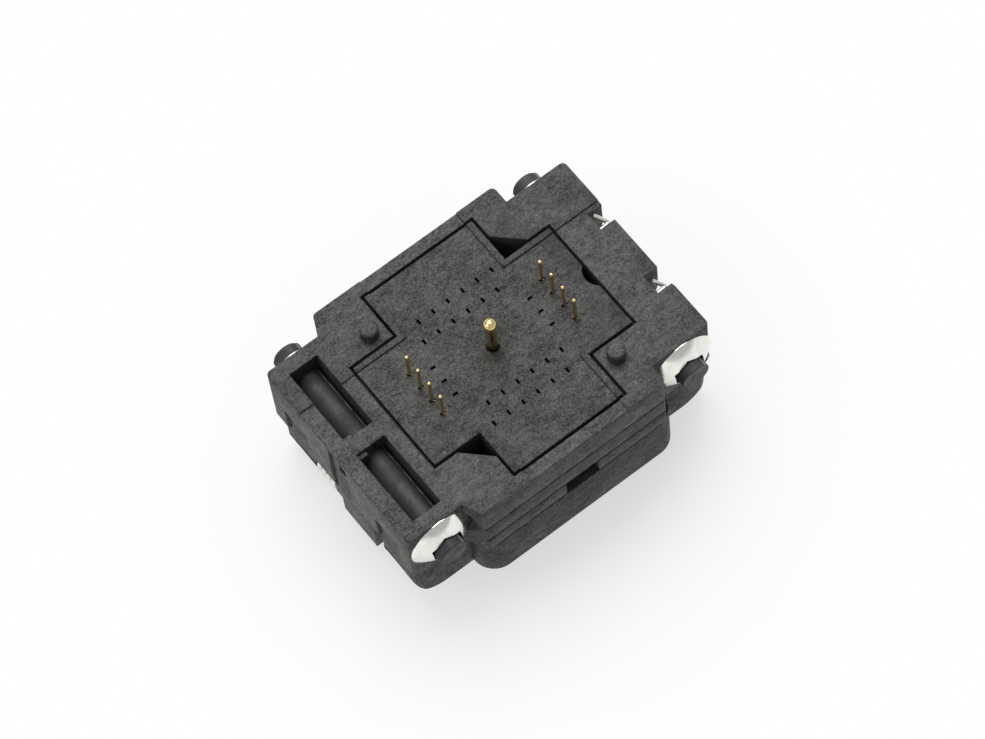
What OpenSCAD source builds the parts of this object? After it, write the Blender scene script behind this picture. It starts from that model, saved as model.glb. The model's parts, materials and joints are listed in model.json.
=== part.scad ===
// Clamshell test socket for an eight-contact no-lead package, lying closed on its cover.
// X runs from the latch end (-X) to the hinge end (+X), Y along the rods, and Z out of the board face.
// The origin is the centre of the contact tails on the board face.

/* [Contacts] */
// Spacing between neighbouring contacts
pitch = 1.27; // [1.2:0.01:1.32]
// Distance of each tail row from the centre
tail_row = 5.747; // [5.6:0.01:5.8]
// Diameter of a contact tail
tail_d = 0.28; // [0.2:0.01:0.32]
// Height of the tails above the board face
tail_h = 2.67; // [2:0.05:3.2]
// Thickness of the contact strip
strip_t = 0.2; // [0.15:0.01:0.22]
// Length of the package along X
package_l = 6; // [5.8:0.05:6.1]
// Width of the package along Y
package_w = 5; // [4.8:0.05:5.2]

/* [Ground probe] */
// Diameter of the probe barrel
probe_d = 0.88; // [0.8:0.01:0.92]
// Diameter of the ball end
probe_ball_d = 1; // [0.9:0.01:1.1]
// Height of the ball end above the board face
probe_h = 3.6; // [3.2:0.05:4]
// Travel of the plunger
probe_travel = 0.45; // [0.3:0.01:0.5]

/* [Base] */
// Reach of the four arms of the insulator, which the base follows
arm_reach = 8.55; // [8.2:0.05:9.2]
// Length of the latch end beyond the insulator
latch_end = 4.95; // [4.8:0.05:5.4]
// Length of the hinge end beyond the insulator
hinge_end = 4; // [3.95:0.05:4.4]
// Thickness of the side flanges beyond the insulator
side_wall = 1.2; // [1:0.05:1.5]
// Width of the two ends
end_w = 16.4; // [15.6:0.1:17]
// Height of the base
base_h = 6.1; // [6.05:0.05:6.5]
// Depth of the cross-shaped relief in the board face
relief = 0.15; // [0.1:0.01:0.25]
// Half width of the relief band that runs along X
relief_y = 4.25; // [4:0.05:4.5]
// Half width of the relief band that runs along Y
relief_x = 4.2; // [4:0.05:4.5]
// Diameter of the alignment posts
post_d = 1.37; // [1.1:0.01:1.5]
// Height of the alignment posts
post_h = 1; // [0.6:0.05:1.5]
// Distance of the alignment posts from the centre along X
post_x = 6.1; // [6:0.05:6.5]
// Distance of the alignment posts from the centre along Y
post_y = 6.02; // [6:0.01:6.5]
// Thickness of the roof over the hinge springs
roof_t = 0.5; // [0.4:0.05:0.55]

/* [Insulator] */
// Half width of the cross arms
arm_half = 4.7; // [4.6:0.05:4.9]
// Thickness of the insulator
insulator_t = 2.6; // [2.4:0.05:2.8]
// Gap around the insulator
insulator_gap = 0.2; // [0.1:0.01:0.22]
// Thickness of the lips at the ends of the cross arms
lip_t = 0.75; // [0.6:0.01:0.78]

/* [Rods] */
// Diameter of the catch rod and the hinge rod
rod_d = 2.25; // [2.1:0.01:2.3]
// Depth of both rods below the board face
rod_depth = 2.55; // [2.5:0.01:2.7]
// Distance of the catch rod from the latch end
catch_inset = 2.53; // [2.4:0.01:2.6]
// Distance of the hinge rod from the hinge end
hinge_inset = 2.5; // [2.4:0.01:2.52]
// Diameter of the push-on nuts
nut_d = 4.95; // [4.6:0.05:5.05]
// Height of the push-on nuts
nut_h = 0.9; // [0.7:0.05:1.1]
// Outer diameter of the retaining rings
ring_d = 2.9; // [2.8:0.05:3.4]

/* [Cover] */
// Gap between the closed base and cover
part_gap = 0.4; // [0.35:0.05:0.5]
// Height of the cover
cover_h = 4.5; // [4.45:0.05:5]
// Thickness of the pad retainer
retainer_t = 0.7; // [0.6:0.05:0.75]
// Thickness of the walls between the hinge springs and the cover's knuckles
spring_wall = 0.45; // [0.35:0.05:0.5]

/* [Latch] */
// Diameter of the latch pin
pin_d = 1.5; // [1.3:0.05:1.6]
// Height of the latch pin above the cover's outer face
pin_height = 2.4; // [2.3:0.01:2.5]
// Distance of the latch pin from the latch end
pin_inset = 1.6; // [1.55:0.01:1.65]
// Width of the hook that rises to the catch rod
hook_w = 2; // [1.6:0.05:2.1]
// Diameter of the latch spring wire
latch_wire_d = 0.44; // [0.36:0.01:0.46]

/* [Hidden] */
$fn = 48;

eps = 0.01;
run_clear = 0.04;            // radial clearance of a rod or pin in its bore
fit_gap = 0.1;               // gap between faces that slide past each other
per_side = 4;                // contacts on each side

base_z = -base_h;
cover_z = base_z - part_gap;
floor_z = cover_z - cover_h;
front_x = -arm_reach - latch_end;
rear_x = arm_reach + hinge_end;
flange_front = arm_reach - 0.15;
flange_rear = arm_reach - 1.05;
flange_w = 2 * (arm_reach + side_wall);
rod_z = -rod_depth;
rod_r = rod_d / 2;
bore_r = rod_r + run_clear;
catch_x = front_x + catch_inset;
hinge_x = rear_x - hinge_inset;
pin_x = front_x + pin_inset;
pin_z = floor_z + pin_height;
pin_r = pin_d / 2;
contact_depth = base_h - 0.95; // package contact plane, below the board face

// Base
edge_r = 0.4;
shoulder = 0.6;              // slant where the flanges meet the latch end
ear_t = 1.15;                // thickness of the outer ears
cavity_l = 2 * (tail_row + 0.45); // cavity under the insulator
cavity_w = 10.4;
guide_seat_z = base_z + 1.2;
guide_l = cavity_l + 1.4;
guide_w = cavity_w + 1.4;
guide_t = 0.8;
guide_gap = 0.05;
window_half = rod_r + 0.055; // windows over the catch rod
window_shift = 0.1;
web_half = 0.67;             // web between the two windows
hook_slot_half = hook_w / 2 + fit_gap;
hook_roof = 0.4;
hook_slot_in = catch_x + 0.37;
tab_in = 4.05;               // guide tabs of the cover, from the middle outwards
tab_out = 6.5;
tab_top = -3.45;
tab_t = 0.8;
tab_room = 0.35;             // behind the tabs, for the swing of the cover
spring_r = 2.05;             // room for the hinge springs
core_reach = arm_reach - 1.35; // arms are full depth up to here, and a thin lip beyond
centre_half = 2.4;           // middle knuckle of the base
swing_r = -base_z - rod_depth; // outer radius of the ears about the hinge
notch_x = rear_x - 1.2;
room_a = 1.45;               // rooms for the hinge springs, beside the middle knuckle
room_b = 1.6;
notches = [[centre_half, centre_half + room_a], [-centre_half - room_b, -centre_half]];
rib_line = 0.12;
rib_lines = [-2.7, -4.56];
finger_half = 1.4;
finger_depth = 0.6;
finger_top = -4.5;
pocket_leg = 1.9;            // triangular pockets at two corners of the cross
pocket_depth = 3.2;

// Contact rows on the insulator
slot_l = 0.42;
slot_w = 0.2;
outer_row = 4.7;
inner_row = 3.22;
row_slots = 6;
row_shift = pitch / 4;
inner_side = 4.208;
inner_slots = 3;
comb_in = 3.2;
comb_out = 5.3;
comb_h = -guide_seat_z - insulator_t - 0.5;
comb_w = 0.7;
boss_r = 1.1;
key_r = 1.29;                // round key notch at the end of one arm
key_depth = 0.45;

// Probe
crown_h = 0.3;
probe_tip = -contact_depth - 0.1;
barrel_mouth = probe_tip + crown_h + probe_travel + 0.3;
collar_h = 0.2;
head_z = barrel_mouth + 1.4; // collar of the plunger, with its spring above it
head_h = 0.6;
barrel_bore = 0.3;
bore_end = barrel_mouth + 3.7;
probe_wire_r = 0.045;
boss_h = -barrel_mouth - collar_h - insulator_t;

// Retaining rings and hinge springs
ring_t = 0.35;
ring_gap = 0.3;              // from the end face to the ring
ring_play = 0.025;
groove_r = rod_r - 0.15;
hinge_wire = 0.34;
hinge_coil_r = rod_r + 0.12 + hinge_wire / 2;
hinge_turns = 2.25;
hinge_rise = hinge_wire + 0.07;
hinge_spring_ys = [notches[0][1] - 0.27, notches[1][1] - 0.4]; // where each coil starts
leg_seat = 0.1;              // depth of the cover holes that take the legs

// Cover
cover_front = front_x + 0.25;
cover_rear = rear_x - 0.05;
slab_front = -flange_front - 0.1;
slab_rear = flange_rear + 1;
slab_w = flange_w - 0.2;
cover_end_w = end_w - 0.8;
slab_r = 1.8;
corner_r = 0.8;
nose_r = 2.5;                // rounded lower edges of the two ends
chamber_l = 10.4;
chamber_w = 9.2;
chamber_floor = floor_z + 1.1;
retainer_l = chamber_l + 3.4;
retainer_w = chamber_w + 3.2;
retainer_gap = 0.05;
dish_l = 12;                 // shallow dish in the outer face
dish_w = 10;
dish_depth = 0.3;
bay_half = 3.95;             // latch bay
bay_in = pin_x + 2.3;
pin_half = cover_end_w / 2 - 1.4;
pin_slot_gap = 0.1;          // slots in front of the pin, beside the bay
pin_slot_up = 0.32;
pin_slot_down = 0.58;
knuckle_r = 1.95;
knuckle_in = centre_half + room_b + spring_wall + 0.1;
knuckle_out = end_w / 2 - ear_t - 0.15;
arm_rear = 1.6;

// Pad
pad_top = base_z + 0.3;
boss_l = package_l - 0.4;
boss_w = package_w - 0.4;
pad_boss_r = 0.4;
flange_l = chamber_l - 0.6;
flange_wd = chamber_w - 0.6;
pad_flange_t = 1;
pad_seat = cover_z - retainer_t - 0.05;
spring_x = chamber_l / 2 - 1.5;
spring_y = chamber_w / 2 - 1.5;
spring_seat = 0.3;
spring_well_r = 1.1;
screw_x = retainer_l / 2 - 0.95;
screw_y = retainer_w / 2 - 0.95;
screw_r = 0.4;
screw_head_r = 0.72;
screw_head_h = 0.35;
screw_l = 1.7;

// Latch lever
lever_front = cover_front - 0.05;
lever_back = lever_front + 1.05;
lever_left = -3;
lever_right = 1.5;
lever_top = cover_z - 0.25;
lever_foot = floor_z + 0.7;
hub_r = 1.38;
hook_top = -hook_roof - 0.05;
hook_tip = catch_x - 0.45;

module box(x0, x1, y0, y1, z0, z1) {
    translate([x0, y0, z0]) cube([x1 - x0, y1 - y0, z1 - z0]);
}

module bar_y(x, z, r, y0, y1) {
    translate([x, y0, z]) rotate([-90, 0, 0]) cylinder(r = r, h = y1 - y0);
}

module along_y(y0, y1) {
    translate([0, y1, 0]) rotate([90, 0, 0]) linear_extrude(y1 - y0) children();
}

module rounded(x0, x1, y0, y1, r) {
    translate([x0 + r, y0]) square([x1 - x0 - 2 * r, y1 - y0]);
    translate([x0, y0 + r]) square([x1 - x0, y1 - y0 - 2 * r]);
    for (x = [x0 + r, x1 - r], y = [y0 + r, y1 - r]) translate([x, y]) circle(r);
}

module plate(l, w, r, z0, z1) {
    translate([0, 0, z0]) linear_extrude(z1 - z0) rounded(-l / 2, l / 2, -w / 2, w / 2, r);
}

// A flat strip of width w that follows the points
module strip(points, w) {
    for (i = [0 : len(points) - 2]) {
        d = points[i + 1] - points[i];
        translate(points[i]) rotate(atan2(d.y, d.x)) translate([0, -w / 2]) square([norm(d), w]);
    }
    for (i = [1 : len(points) - 1]) translate(points[i]) circle(d = w, $fn = 16);
}

// A round wire of radius r that follows the path; ref is an axis that the path never runs along
module wire(path, r, ref, sides = 7) {
    last = len(path) - 1;
    points = [for (i = [0 : last])
        let (d = path[min(i + 1, last)] - path[max(i - 1, 0)],
             t = d / norm(d), c = cross(t, ref), u = c / norm(c), v = cross(t, u))
        for (k = [0 : sides - 1]) path[i] + r * (cos(360 * k / sides) * u + sin(360 * k / sides) * v)];
    walls = [for (i = [0 : last - 1], k = [0 : sides - 1])
        let (a = i * sides + k, b = i * sides + (k + 1) % sides) [a, a + sides, b + sides, b]];
    ends = [[for (k = [0 : sides - 1]) k], [for (k = [sides - 1 : -1 : 0]) last * sides + k]];
    polyhedron(points, concat(ends, walls));
}

// Turns of a coil about a Y axis through (x, z), from angle a0 to a1, starting at y0
function coil_y(x, z, r, y0, rise, a0, a1, step = 24) =
    [for (a = [a0 : step : a1]) [x + r * sin(a), y0 + rise * (a - a0) / 360, z + r * cos(a)]];

// Turns of a compression spring about a Z axis, closed at both ends
function coil_z(x, y, r, z0, z1, turns, step = 30) =
    [for (a = [0 : step : 360 * turns]) [x + r * cos(a), y + r * sin(a), z0 + (z1 - z0) * a / (360 * turns)]];

module base_outline() {
    rounded(-flange_front, flange_rear, -flange_w / 2, flange_w / 2, edge_r);
    rounded(front_x, rear_x, -end_w / 2, end_w / 2, edge_r);
    for (s = [-1, 1])
        polygon([[-flange_front - shoulder, s * (end_w / 2 - eps)],
                 [-flange_front + edge_r, s * (end_w / 2 - eps)],
                 [-flange_front + edge_r, s * (flange_w / 2 - edge_r)],
                 [-flange_front, s * (flange_w / 2 - edge_r)]]);
}

module relief_cross() {
    box(front_x - 1, rear_x + 1, -relief_y, relief_y, -relief, 1);
    box(-relief_x, relief_x, -flange_w / 2 - 1, flange_w / 2 + 1, -relief, 1);
}

module cross_plan(reach, half) {
    square([2 * reach, 2 * half], center = true);
    square([2 * half, 2 * reach], center = true);
}

module insulator_opening() {
    g = insulator_gap;
    translate([0, 0, -lip_t - 0.05]) linear_extrude(insulator_t) cross_plan(arm_reach + g, arm_half + g);
    translate([0, 0, -insulator_t]) linear_extrude(insulator_t + 1) cross_plan(core_reach + g, arm_half + g);
    translate([arm_reach + key_r - key_depth, 0, -pocket_depth]) intersection() {
        cylinder(r = key_r, h = pocket_depth);
        translate([-2 * key_r, -key_r, 0]) cube([key_r + key_depth + g, 2 * key_r, pocket_depth]);
    }
    for (s = [-1, 1])
        translate([0, 0, -pocket_depth]) linear_extrude(pocket_depth + 1)
            polygon(s * [[arm_half, arm_half], [arm_half + g + pocket_leg, arm_half],
                         [arm_half + g + pocket_leg, arm_half + g],
                         [arm_half + g, arm_half + g + pocket_leg], [arm_half, arm_half + g + pocket_leg]]);
}

module catch_end_cuts() {
    bar_y(catch_x, rod_z, bore_r, -end_w / 2 - 1, end_w / 2 + 1);
    window_c = catch_x - window_shift;
    for (s = [-1, 1]) {
        y = s > 0 ? [web_half, end_w / 2 - ear_t] : [ear_t - end_w / 2, -web_half];
        box(window_c - window_half, window_c + window_half, y[0], y[1], rod_z, 1);
        side = fit_gap / 2;
        t = s > 0 ? [tab_in - side, tab_out + side] : [-tab_out - side, side - tab_in];
        box(front_x - 1, cover_front + tab_t + tab_room, t[0], t[1], base_z - 1, tab_top + fit_gap);
    }
    box(front_x - 1, hook_slot_in, -hook_slot_half, hook_slot_half, base_z - 1, -hook_roof);
}

module hinge_end_cuts() {
    inner = end_w / 2 - ear_t;
    wall_a = notches[0][1];
    wall_b = notches[1][0];
    kept = [[-centre_half, centre_half], [wall_a, wall_a + spring_wall], [wall_b - spring_wall, wall_b]];
    difference() {
        union() {
            bar_y(hinge_x, rod_z, spring_r, -inner, inner);
            box(hinge_x - spring_r, rear_x + 1, -inner, inner, base_z - 1, rod_z);
            box(hinge_x, rear_x + 1, -inner, inner, rod_z - eps, -roof_t);
        }
        for (y = kept) {
            bar_y(hinge_x, rod_z, hinge_inset, y[0], y[1]);
            box(hinge_x - spring_r - 1, hinge_x, y[0], y[1], rod_z - hinge_inset, 0);
            box(hinge_x, rear_x, y[0], y[1], rod_z, 0);
        }
    }
    difference() {
        box(hinge_x, rear_x + 1, -end_w, end_w, base_z - 1, rod_z);
        bar_y(hinge_x, rod_z, swing_r, -end_w, end_w);
    }
    bar_y(hinge_x, rod_z, bore_r, -end_w / 2 - 1, end_w / 2 + 1);
    for (x = [catch_x, hinge_x]) bar_y(x, rod_z, nut_d / 2 + fit_gap, -flange_w, -end_w / 2);
    for (n = notches) box(notch_x, rear_x + 1, n[0], n[1], -roof_t - 1, 1);
}

module flange_cuts() {
    for (s = [-1, 1]) {
        y = s * flange_w / 2;
        for (z = rib_lines)
            box(front_x, rear_x, y - rib_line, y + rib_line, z - rib_line / 2, z + rib_line / 2);
        box(-finger_half, finger_half, y - finger_depth, y + finger_depth, base_z - 1, finger_top);
    }
}

module post(x, y) {
    tip = 0.12;
    translate([x, y, -relief]) cylinder(d = post_d, h = post_h + relief - tip);
    translate([x, y, post_h - tip]) cylinder(d1 = post_d, d2 = post_d - 2 * tip, h = tip);
}

module base_housing() {
    color("dimgray") {
        difference() {
            translate([0, 0, base_z]) linear_extrude(base_h) base_outline();
            relief_cross();
            insulator_opening();
            box(-cavity_l / 2, cavity_l / 2, -cavity_w / 2, cavity_w / 2, base_z - 1, eps - insulator_t);
            plate(guide_l + 2 * guide_gap, guide_w + 2 * guide_gap, 0.5, base_z - 1, guide_seat_z);
            catch_end_cuts();
            hinge_end_cuts();
            flange_cuts();
        }
        post(-post_x, post_y);
        post(post_x, -post_y);
    }
}

module slot(x, y, l, w) {
    translate([x, y, -insulator_t / 2]) cube([l, w, insulator_t + 1], center = true);
}

module slot_field() {
    for (s = [-1, 1], i = [0 : row_slots - 1]) {
        x = (i - (row_slots - 1) / 2) * pitch;
        slot(x + s * row_shift, s * outer_row, slot_w, slot_l);
        slot(x - s * row_shift, s * inner_row, slot_w, slot_l);
    }
    for (s = [-1, 1]) {
        for (i = [0 : inner_slots - 1])
            slot(s * inner_side, (i - (inner_slots - 1) / 2) * pitch, slot_l, slot_w);
        for (i = [0 : per_side - 1]) slot(s * tail_row, contact_y(i), slot_l + 0.02, strip_t + 0.04);
    }
}

function contact_y(i) = (i - (per_side - 1) / 2) * pitch;

module contact_insulator() {
    color("dimgray") difference() {
        union() {
            translate([0, 0, -lip_t]) linear_extrude(lip_t) cross_plan(arm_reach, arm_half);
            translate([0, 0, -insulator_t]) linear_extrude(insulator_t) cross_plan(core_reach, arm_half);
            for (s = [-1, 1], i = [0 : per_side]) {
                y = (i - per_side / 2) * pitch;
                box(s > 0 ? comb_in : -comb_out, s > 0 ? comb_out : -comb_in,
                    y - comb_w / 2, y + comb_w / 2, -insulator_t - comb_h, -insulator_t);
            }
            translate([0, 0, -insulator_t - boss_h]) cylinder(r = boss_r, h = boss_h + eps);
        }
        relief_cross();
        slot_field();
        translate([0, 0, -insulator_t - boss_h - 1])
            cylinder(d = probe_d + 2 * run_clear, h = insulator_t + boss_h + 2);
        translate([arm_reach + key_r - key_depth, 0, -insulator_t - 1])
            cylinder(r = key_r, h = insulator_t + 2);
    }
}

module package_guide() {
    seat = 0.5;
    lead = 0.55;
    open_l = package_l + 0.16;
    open_w = package_w + 0.16;
    low = guide_seat_z - guide_t;
    color("dimgray") difference() {
        plate(guide_l, guide_w, 0.5, low, guide_seat_z);
        difference() {
            box(-open_l / 2, open_l / 2, -open_w / 2, open_w / 2, low - 1, guide_seat_z + 1);
            for (x = [-1, 1], y = [-1, 1])
                translate([x * open_l / 2, y * open_w / 2, -contact_depth])
                    translate([-seat, -seat, 0]) cube([2 * seat, 2 * seat, contact_depth + guide_seat_z]);
        }
        hull() {
            translate([0, 0, low - eps]) cube([open_l + 2 * lead, open_w + 2 * lead, eps], center = true);
            translate([0, 0, low + lead]) cube([open_l, open_w, eps], center = true);
        }
    }
}

// One contact: a round tail, a flat body in the insulator and a sprung beam that reaches the package
module contact(side, i) {
    body_w = slot_l - 0.04;
    tip_x = package_l / 2 - 0.28;
    root = -0.7;             // the flat body ends here, and a square shank goes on to the tail
    shank = tail_d - 0.06;
    top = -relief;
    beam = [[tail_row, -insulator_t], [tail_row, -insulator_t - 0.6], [tail_row - 0.45, -insulator_t - 1.15],
            [tip_x + 0.95, -insulator_t - 1.4], [tip_x + 0.3, -insulator_t - 1.75],
            [tip_x, strip_t / 2 - contact_depth]];
    color("gold") translate([0, contact_y(i), 0]) mirror([side < 0 ? 1 : 0, 0, 0]) {
        translate([tail_row, 0, top]) cylinder(d = tail_d, h = tail_h - tail_d / 2 - top, $fn = 24);
        translate([tail_row, 0, tail_h - tail_d / 2]) sphere(d = tail_d, $fn = 24);
        box(tail_row - shank / 2, tail_row + shank / 2, -shank / 2, shank / 2, root - eps, top);
        box(tail_row - body_w / 2, tail_row + body_w / 2, -strip_t / 2, strip_t / 2, -insulator_t, root);
        along_y(-strip_t / 2, strip_t / 2) strip(beam, strip_t);
    }
}

// Spring probe: a barrel that ends in a ball on the board side
module probe_barrel() {
    lip = 0.23;              // the mouth is rolled in, and keeps the plunger
    seat_z = -0.1;           // a tapered shank presses into the insulator up to here
    ball_r = probe_ball_d / 2;
    neck_z = probe_h - 2.5 * ball_r;
    neck_r = probe_d / 2 - 0.06;
    neck_h = 0.15;
    color("gold") difference() {
        union() {
            translate([0, 0, barrel_mouth]) cylinder(r = probe_d / 2 + 0.16, h = collar_h);
            translate([0, 0, barrel_mouth])
                cylinder(r1 = probe_d / 2 - 0.01, r2 = probe_d / 2, h = seat_z - barrel_mouth);
            translate([0, 0, seat_z - eps]) cylinder(d = probe_d, h = neck_z - seat_z);
            translate([0, 0, neck_z - 2 * eps]) cylinder(r1 = probe_d / 2, r2 = neck_r, h = neck_h);
            translate([0, 0, neck_z + neck_h - 5 * eps])
                cylinder(r1 = neck_r, r2 = ball_r - 2 * eps, h = ball_r - neck_h + 6 * eps);
            translate([0, 0, probe_h - ball_r]) sphere(r = ball_r);
        }
        translate([0, 0, barrel_mouth + 0.15]) cylinder(r = barrel_bore, h = bore_end - barrel_mouth - 0.15);
        translate([0, 0, barrel_mouth - 1]) cylinder(r = lip, h = 2);
    }
}

module probe_spring() {
    coil_r = barrel_bore - probe_wire_r - 0.065;
    color("silver") wire(coil_z(0, 0, coil_r, head_z + head_h + probe_wire_r, bore_end - probe_wire_r, 8, 36),
                         probe_wire_r, [0, 0, 1], 5);
}

module probe_plunger() {
    stem_z = probe_tip + crown_h - eps;
    stem_r = 0.19;
    crown_r = 0.32;
    point_h = 0.15;
    color("gold") {
        translate([0, 0, head_z]) cylinder(r = barrel_bore - run_clear, h = head_h, $fn = 32);
        translate([0, 0, stem_z]) cylinder(r = stem_r, h = head_z - stem_z + eps, $fn = 32);
        translate([0, 0, probe_tip]) cylinder(r1 = crown_r / 2, r2 = crown_r, h = point_h, $fn = 32);
        translate([0, 0, probe_tip + point_h]) cylinder(r = crown_r, h = crown_h - point_h, $fn = 32);
    }
}

module rod(x) {
    end = flange_w / 2;      // the rods reach as far as the flanges do
    chamfer = 0.2;
    groove_y = end_w / 2 + ring_gap - ring_play;
    color("black") difference() {
        union() {
            bar_y(x, rod_z, rod_r, -end, end - chamfer);
            translate([x, end - chamfer, rod_z]) rotate([-90, 0, 0])
                cylinder(r1 = rod_r, r2 = rod_r - chamfer, h = chamfer);
        }
        difference() {
            bar_y(x, rod_z, rod_r + 1, groove_y, groove_y + ring_t + 2 * ring_play);
            bar_y(x, rod_z, groove_r, groove_y - 1, groove_y + 1);
        }
    }
}

module catch_rod() rod(catch_x);
module hinge_rod() rod(hinge_x);

// Domed push-on nut with a six-sided hole, against the -Y face
module push_nut(x) {
    r = nut_d / 2;
    hole = rod_r + 0.1;
    rim = 0.25;
    crown = nut_h - rim + 0.12;  // rise of the dome to its axis, where the hole takes its top off
    dome_r = (r * r + crown * crown) / (2 * crown);
    color("silver") translate([x, -end_w / 2, rod_z]) rotate([90, 0, 0]) difference() {
        intersection() {
            cylinder(r = r, h = nut_h + 1);
            translate([0, 0, rim + crown - dome_r]) sphere(r = dome_r, $fn = 128);
        }
        translate([0, 0, -1]) cylinder(r = hole / cos(30), h = nut_h + 3, $fn = 6);
    }
}

module catch_push_nut() push_nut(catch_x);
module hinge_push_nut() push_nut(hinge_x);

// Snap ring with a gap, in the groove near the +Y end
module retaining_ring(x) {
    y = end_w / 2 + ring_gap;
    mouth_half = 0.4;
    color("silver") difference() {
        bar_y(x, rod_z, ring_d / 2, y, y + ring_t);
        bar_y(x, rod_z, groove_r + run_clear, y - 1, y + 1);
        box(x - mouth_half, x + mouth_half, y - 1, y + 1, rod_z - ring_d, rod_z);
    }
}

module catch_retaining_ring() retaining_ring(catch_x);
module hinge_retaining_ring() retaining_ring(hinge_x);

// Torsion spring about the hinge rod: one leg on the cover, the other hooked back in its notch
module hinge_spring(y, tip_y) {
    top_y = y - hinge_rise * hinge_turns;
    leg_x = hinge_x - hinge_coil_r;
    under_roof = -roof_t - hinge_wire / 2;
    hook_x = rear_x - 0.35;
    tip_z = -0.3;
    path = concat([[leg_x, y, cover_z - leg_seat], [leg_x, y, rod_z - hinge_coil_r / 2]],
                  coil_y(hinge_x, rod_z, hinge_coil_r, y, -hinge_rise, -90, 720),
                  [[notch_x + 0.1, top_y, under_roof - 0.1], [hook_x - 0.1, top_y, under_roof - 0.15],
                   [hook_x, top_y + 0.08, under_roof - 0.14],
                   [hook_x - 0.05, top_y + 0.22, under_roof - 0.05],
                   [notch_x + 0.26, tip_y, tip_z]]);
    color("silver") wire(path, hinge_wire / 2, [0, 1, 0]);
}

module hinge_spring_a() hinge_spring(hinge_spring_ys[0], notches[0][0] + 1.23);
module hinge_spring_b() hinge_spring(hinge_spring_ys[1], notches[1][0] + 1.02);

module cover_outline() {
    rounded(slab_front, slab_rear, -slab_w / 2, slab_w / 2, slab_r);
    rounded(cover_front, cover_rear, -cover_end_w / 2, cover_end_w / 2, corner_r);
}

// Side profile of the cover with rounded lower ends
module cover_profile() {
    translate([cover_front + nose_r, floor_z])
        square([cover_rear - cover_front - 2 * nose_r, cover_h + 1]);
    translate([cover_front, floor_z + nose_r]) square([cover_rear - cover_front, cover_h - nose_r + 1]);
    for (x = [cover_front + nose_r, cover_rear - nose_r])
        translate([x, floor_z + nose_r]) circle(nose_r, $fn = 64);
}

module cover_hinge_arms() {
    for (s = [-1, 1]) {
        y0 = s > 0 ? knuckle_in : -knuckle_out;
        y1 = s > 0 ? knuckle_out : -knuckle_in;
        bar_y(hinge_x, rod_z, knuckle_r, y0, y1);
        box(hinge_x - knuckle_r, hinge_x + arm_rear, y0, y1, cover_z - 1, rod_z);
    }
}

module cover_tabs() {
    for (s = [-1, 1])
        along_y(s > 0 ? tab_in : -tab_out, s > 0 ? tab_out : -tab_in)
            polygon([[cover_front, cover_z - 1], [cover_front + tab_t + 0.1, cover_z - 1],
                     [cover_front + tab_t, tab_top], [cover_front + 0.1, tab_top],
                     [cover_front, tab_top - 0.3]]);
}

module cover_frame() {
    color("dimgray") difference() {
        union() {
            intersection() {
                translate([0, 0, floor_z]) linear_extrude(cover_h) cover_outline();
                along_y(-flange_w, flange_w) cover_profile();
            }
            cover_hinge_arms();
            cover_tabs();
        }
        bar_y(hinge_x, rod_z, bore_r, -end_w, end_w);
        plate(chamber_l, chamber_w, 0.6, chamber_floor, cover_z + 1);
        plate(retainer_l + 2 * retainer_gap, retainer_w + 2 * retainer_gap, 0.6,
              cover_z - retainer_t, cover_z + 1);
        plate(dish_l, dish_w, 1, floor_z - 1, floor_z + dish_depth);
        for (x = [-spring_x, spring_x], y = [-spring_y, spring_y])
            translate([x, y, chamber_floor - spring_seat]) cylinder(r = spring_well_r, h = 1);
        for (x = [-screw_x, screw_x], y = [-screw_y, screw_y])
            translate([x, y, cover_z - screw_l - 0.1]) cylinder(r = screw_r + 0.02, h = screw_l, $fn = 32);
        box(cover_front - 1, bay_in, -bay_half, bay_half, floor_z - 1, cover_z + 1);
        bar_y(pin_x, pin_z, pin_r + run_clear, -pin_half - fit_gap, cover_end_w);
        for (s = [-1, 1])
            along_y(s > 0 ? bay_half + pin_slot_gap : pin_slot_gap - pin_half,
                    s > 0 ? pin_half - pin_slot_gap : -bay_half - pin_slot_gap)
                translate([cover_front - 1, pin_z - pin_slot_down])
                    square([pin_x - cover_front + 1, pin_slot_up + pin_slot_down]);
        for (y = hinge_spring_ys)
            translate([hinge_x - hinge_coil_r, y, cover_z - leg_seat - 0.05])
                cylinder(r = hinge_wire / 2 + fit_gap, h = 1, $fn = 24);
    }
}

module pressure_pad() {
    land = 1;                // rim of the pad that presses on the package
    recess = 0.1;
    color("darkslategray") {
        difference() {
            plate(boss_l, boss_w, pad_boss_r, pad_seat - eps, pad_top);
            plate(boss_l - 2 * land, boss_w - 2 * land, 0.3, pad_top - recess, pad_top + 1);
        }
        plate(flange_l, flange_wd, 0.3, pad_seat - pad_flange_t, pad_seat);
    }
}

module pad_retainer() {
    open_gap = 0.1;
    color("silver") difference() {
        plate(retainer_l, retainer_w, 0.55, cover_z - retainer_t, cover_z);
        plate(boss_l + 2 * open_gap, boss_w + 2 * open_gap, pad_boss_r + open_gap / 2,
              cover_z - retainer_t - 1, cover_z + 1);
        for (x = [-screw_x, screw_x], y = [-screw_y, screw_y]) {
            translate([x, y, cover_z - retainer_t - 1]) cylinder(r = screw_r + 0.05, h = 3, $fn = 32);
            translate([x, y, cover_z - screw_head_h]) cylinder(r = screw_head_r + 0.03, h = 1, $fn = 32);
        }
    }
}

module retainer_screw(x, y) {
    slot_w = 0.2;
    slot_z = cover_z - 0.2;
    color("silver") translate([x, y, 0]) {
        translate([0, 0, cover_z - screw_l])
            cylinder(r = screw_r, h = screw_l - screw_head_h + eps, $fn = 32);
        difference() {
            translate([0, 0, cover_z - screw_head_h]) cylinder(r = screw_head_r, h = screw_head_h, $fn = 32);
            box(-slot_w / 2, slot_w / 2, -1, 1, slot_z, cover_z + 1);
            box(-1, 1, -slot_w / 2, slot_w / 2, slot_z, cover_z + 1);
        }
    }
}

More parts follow.
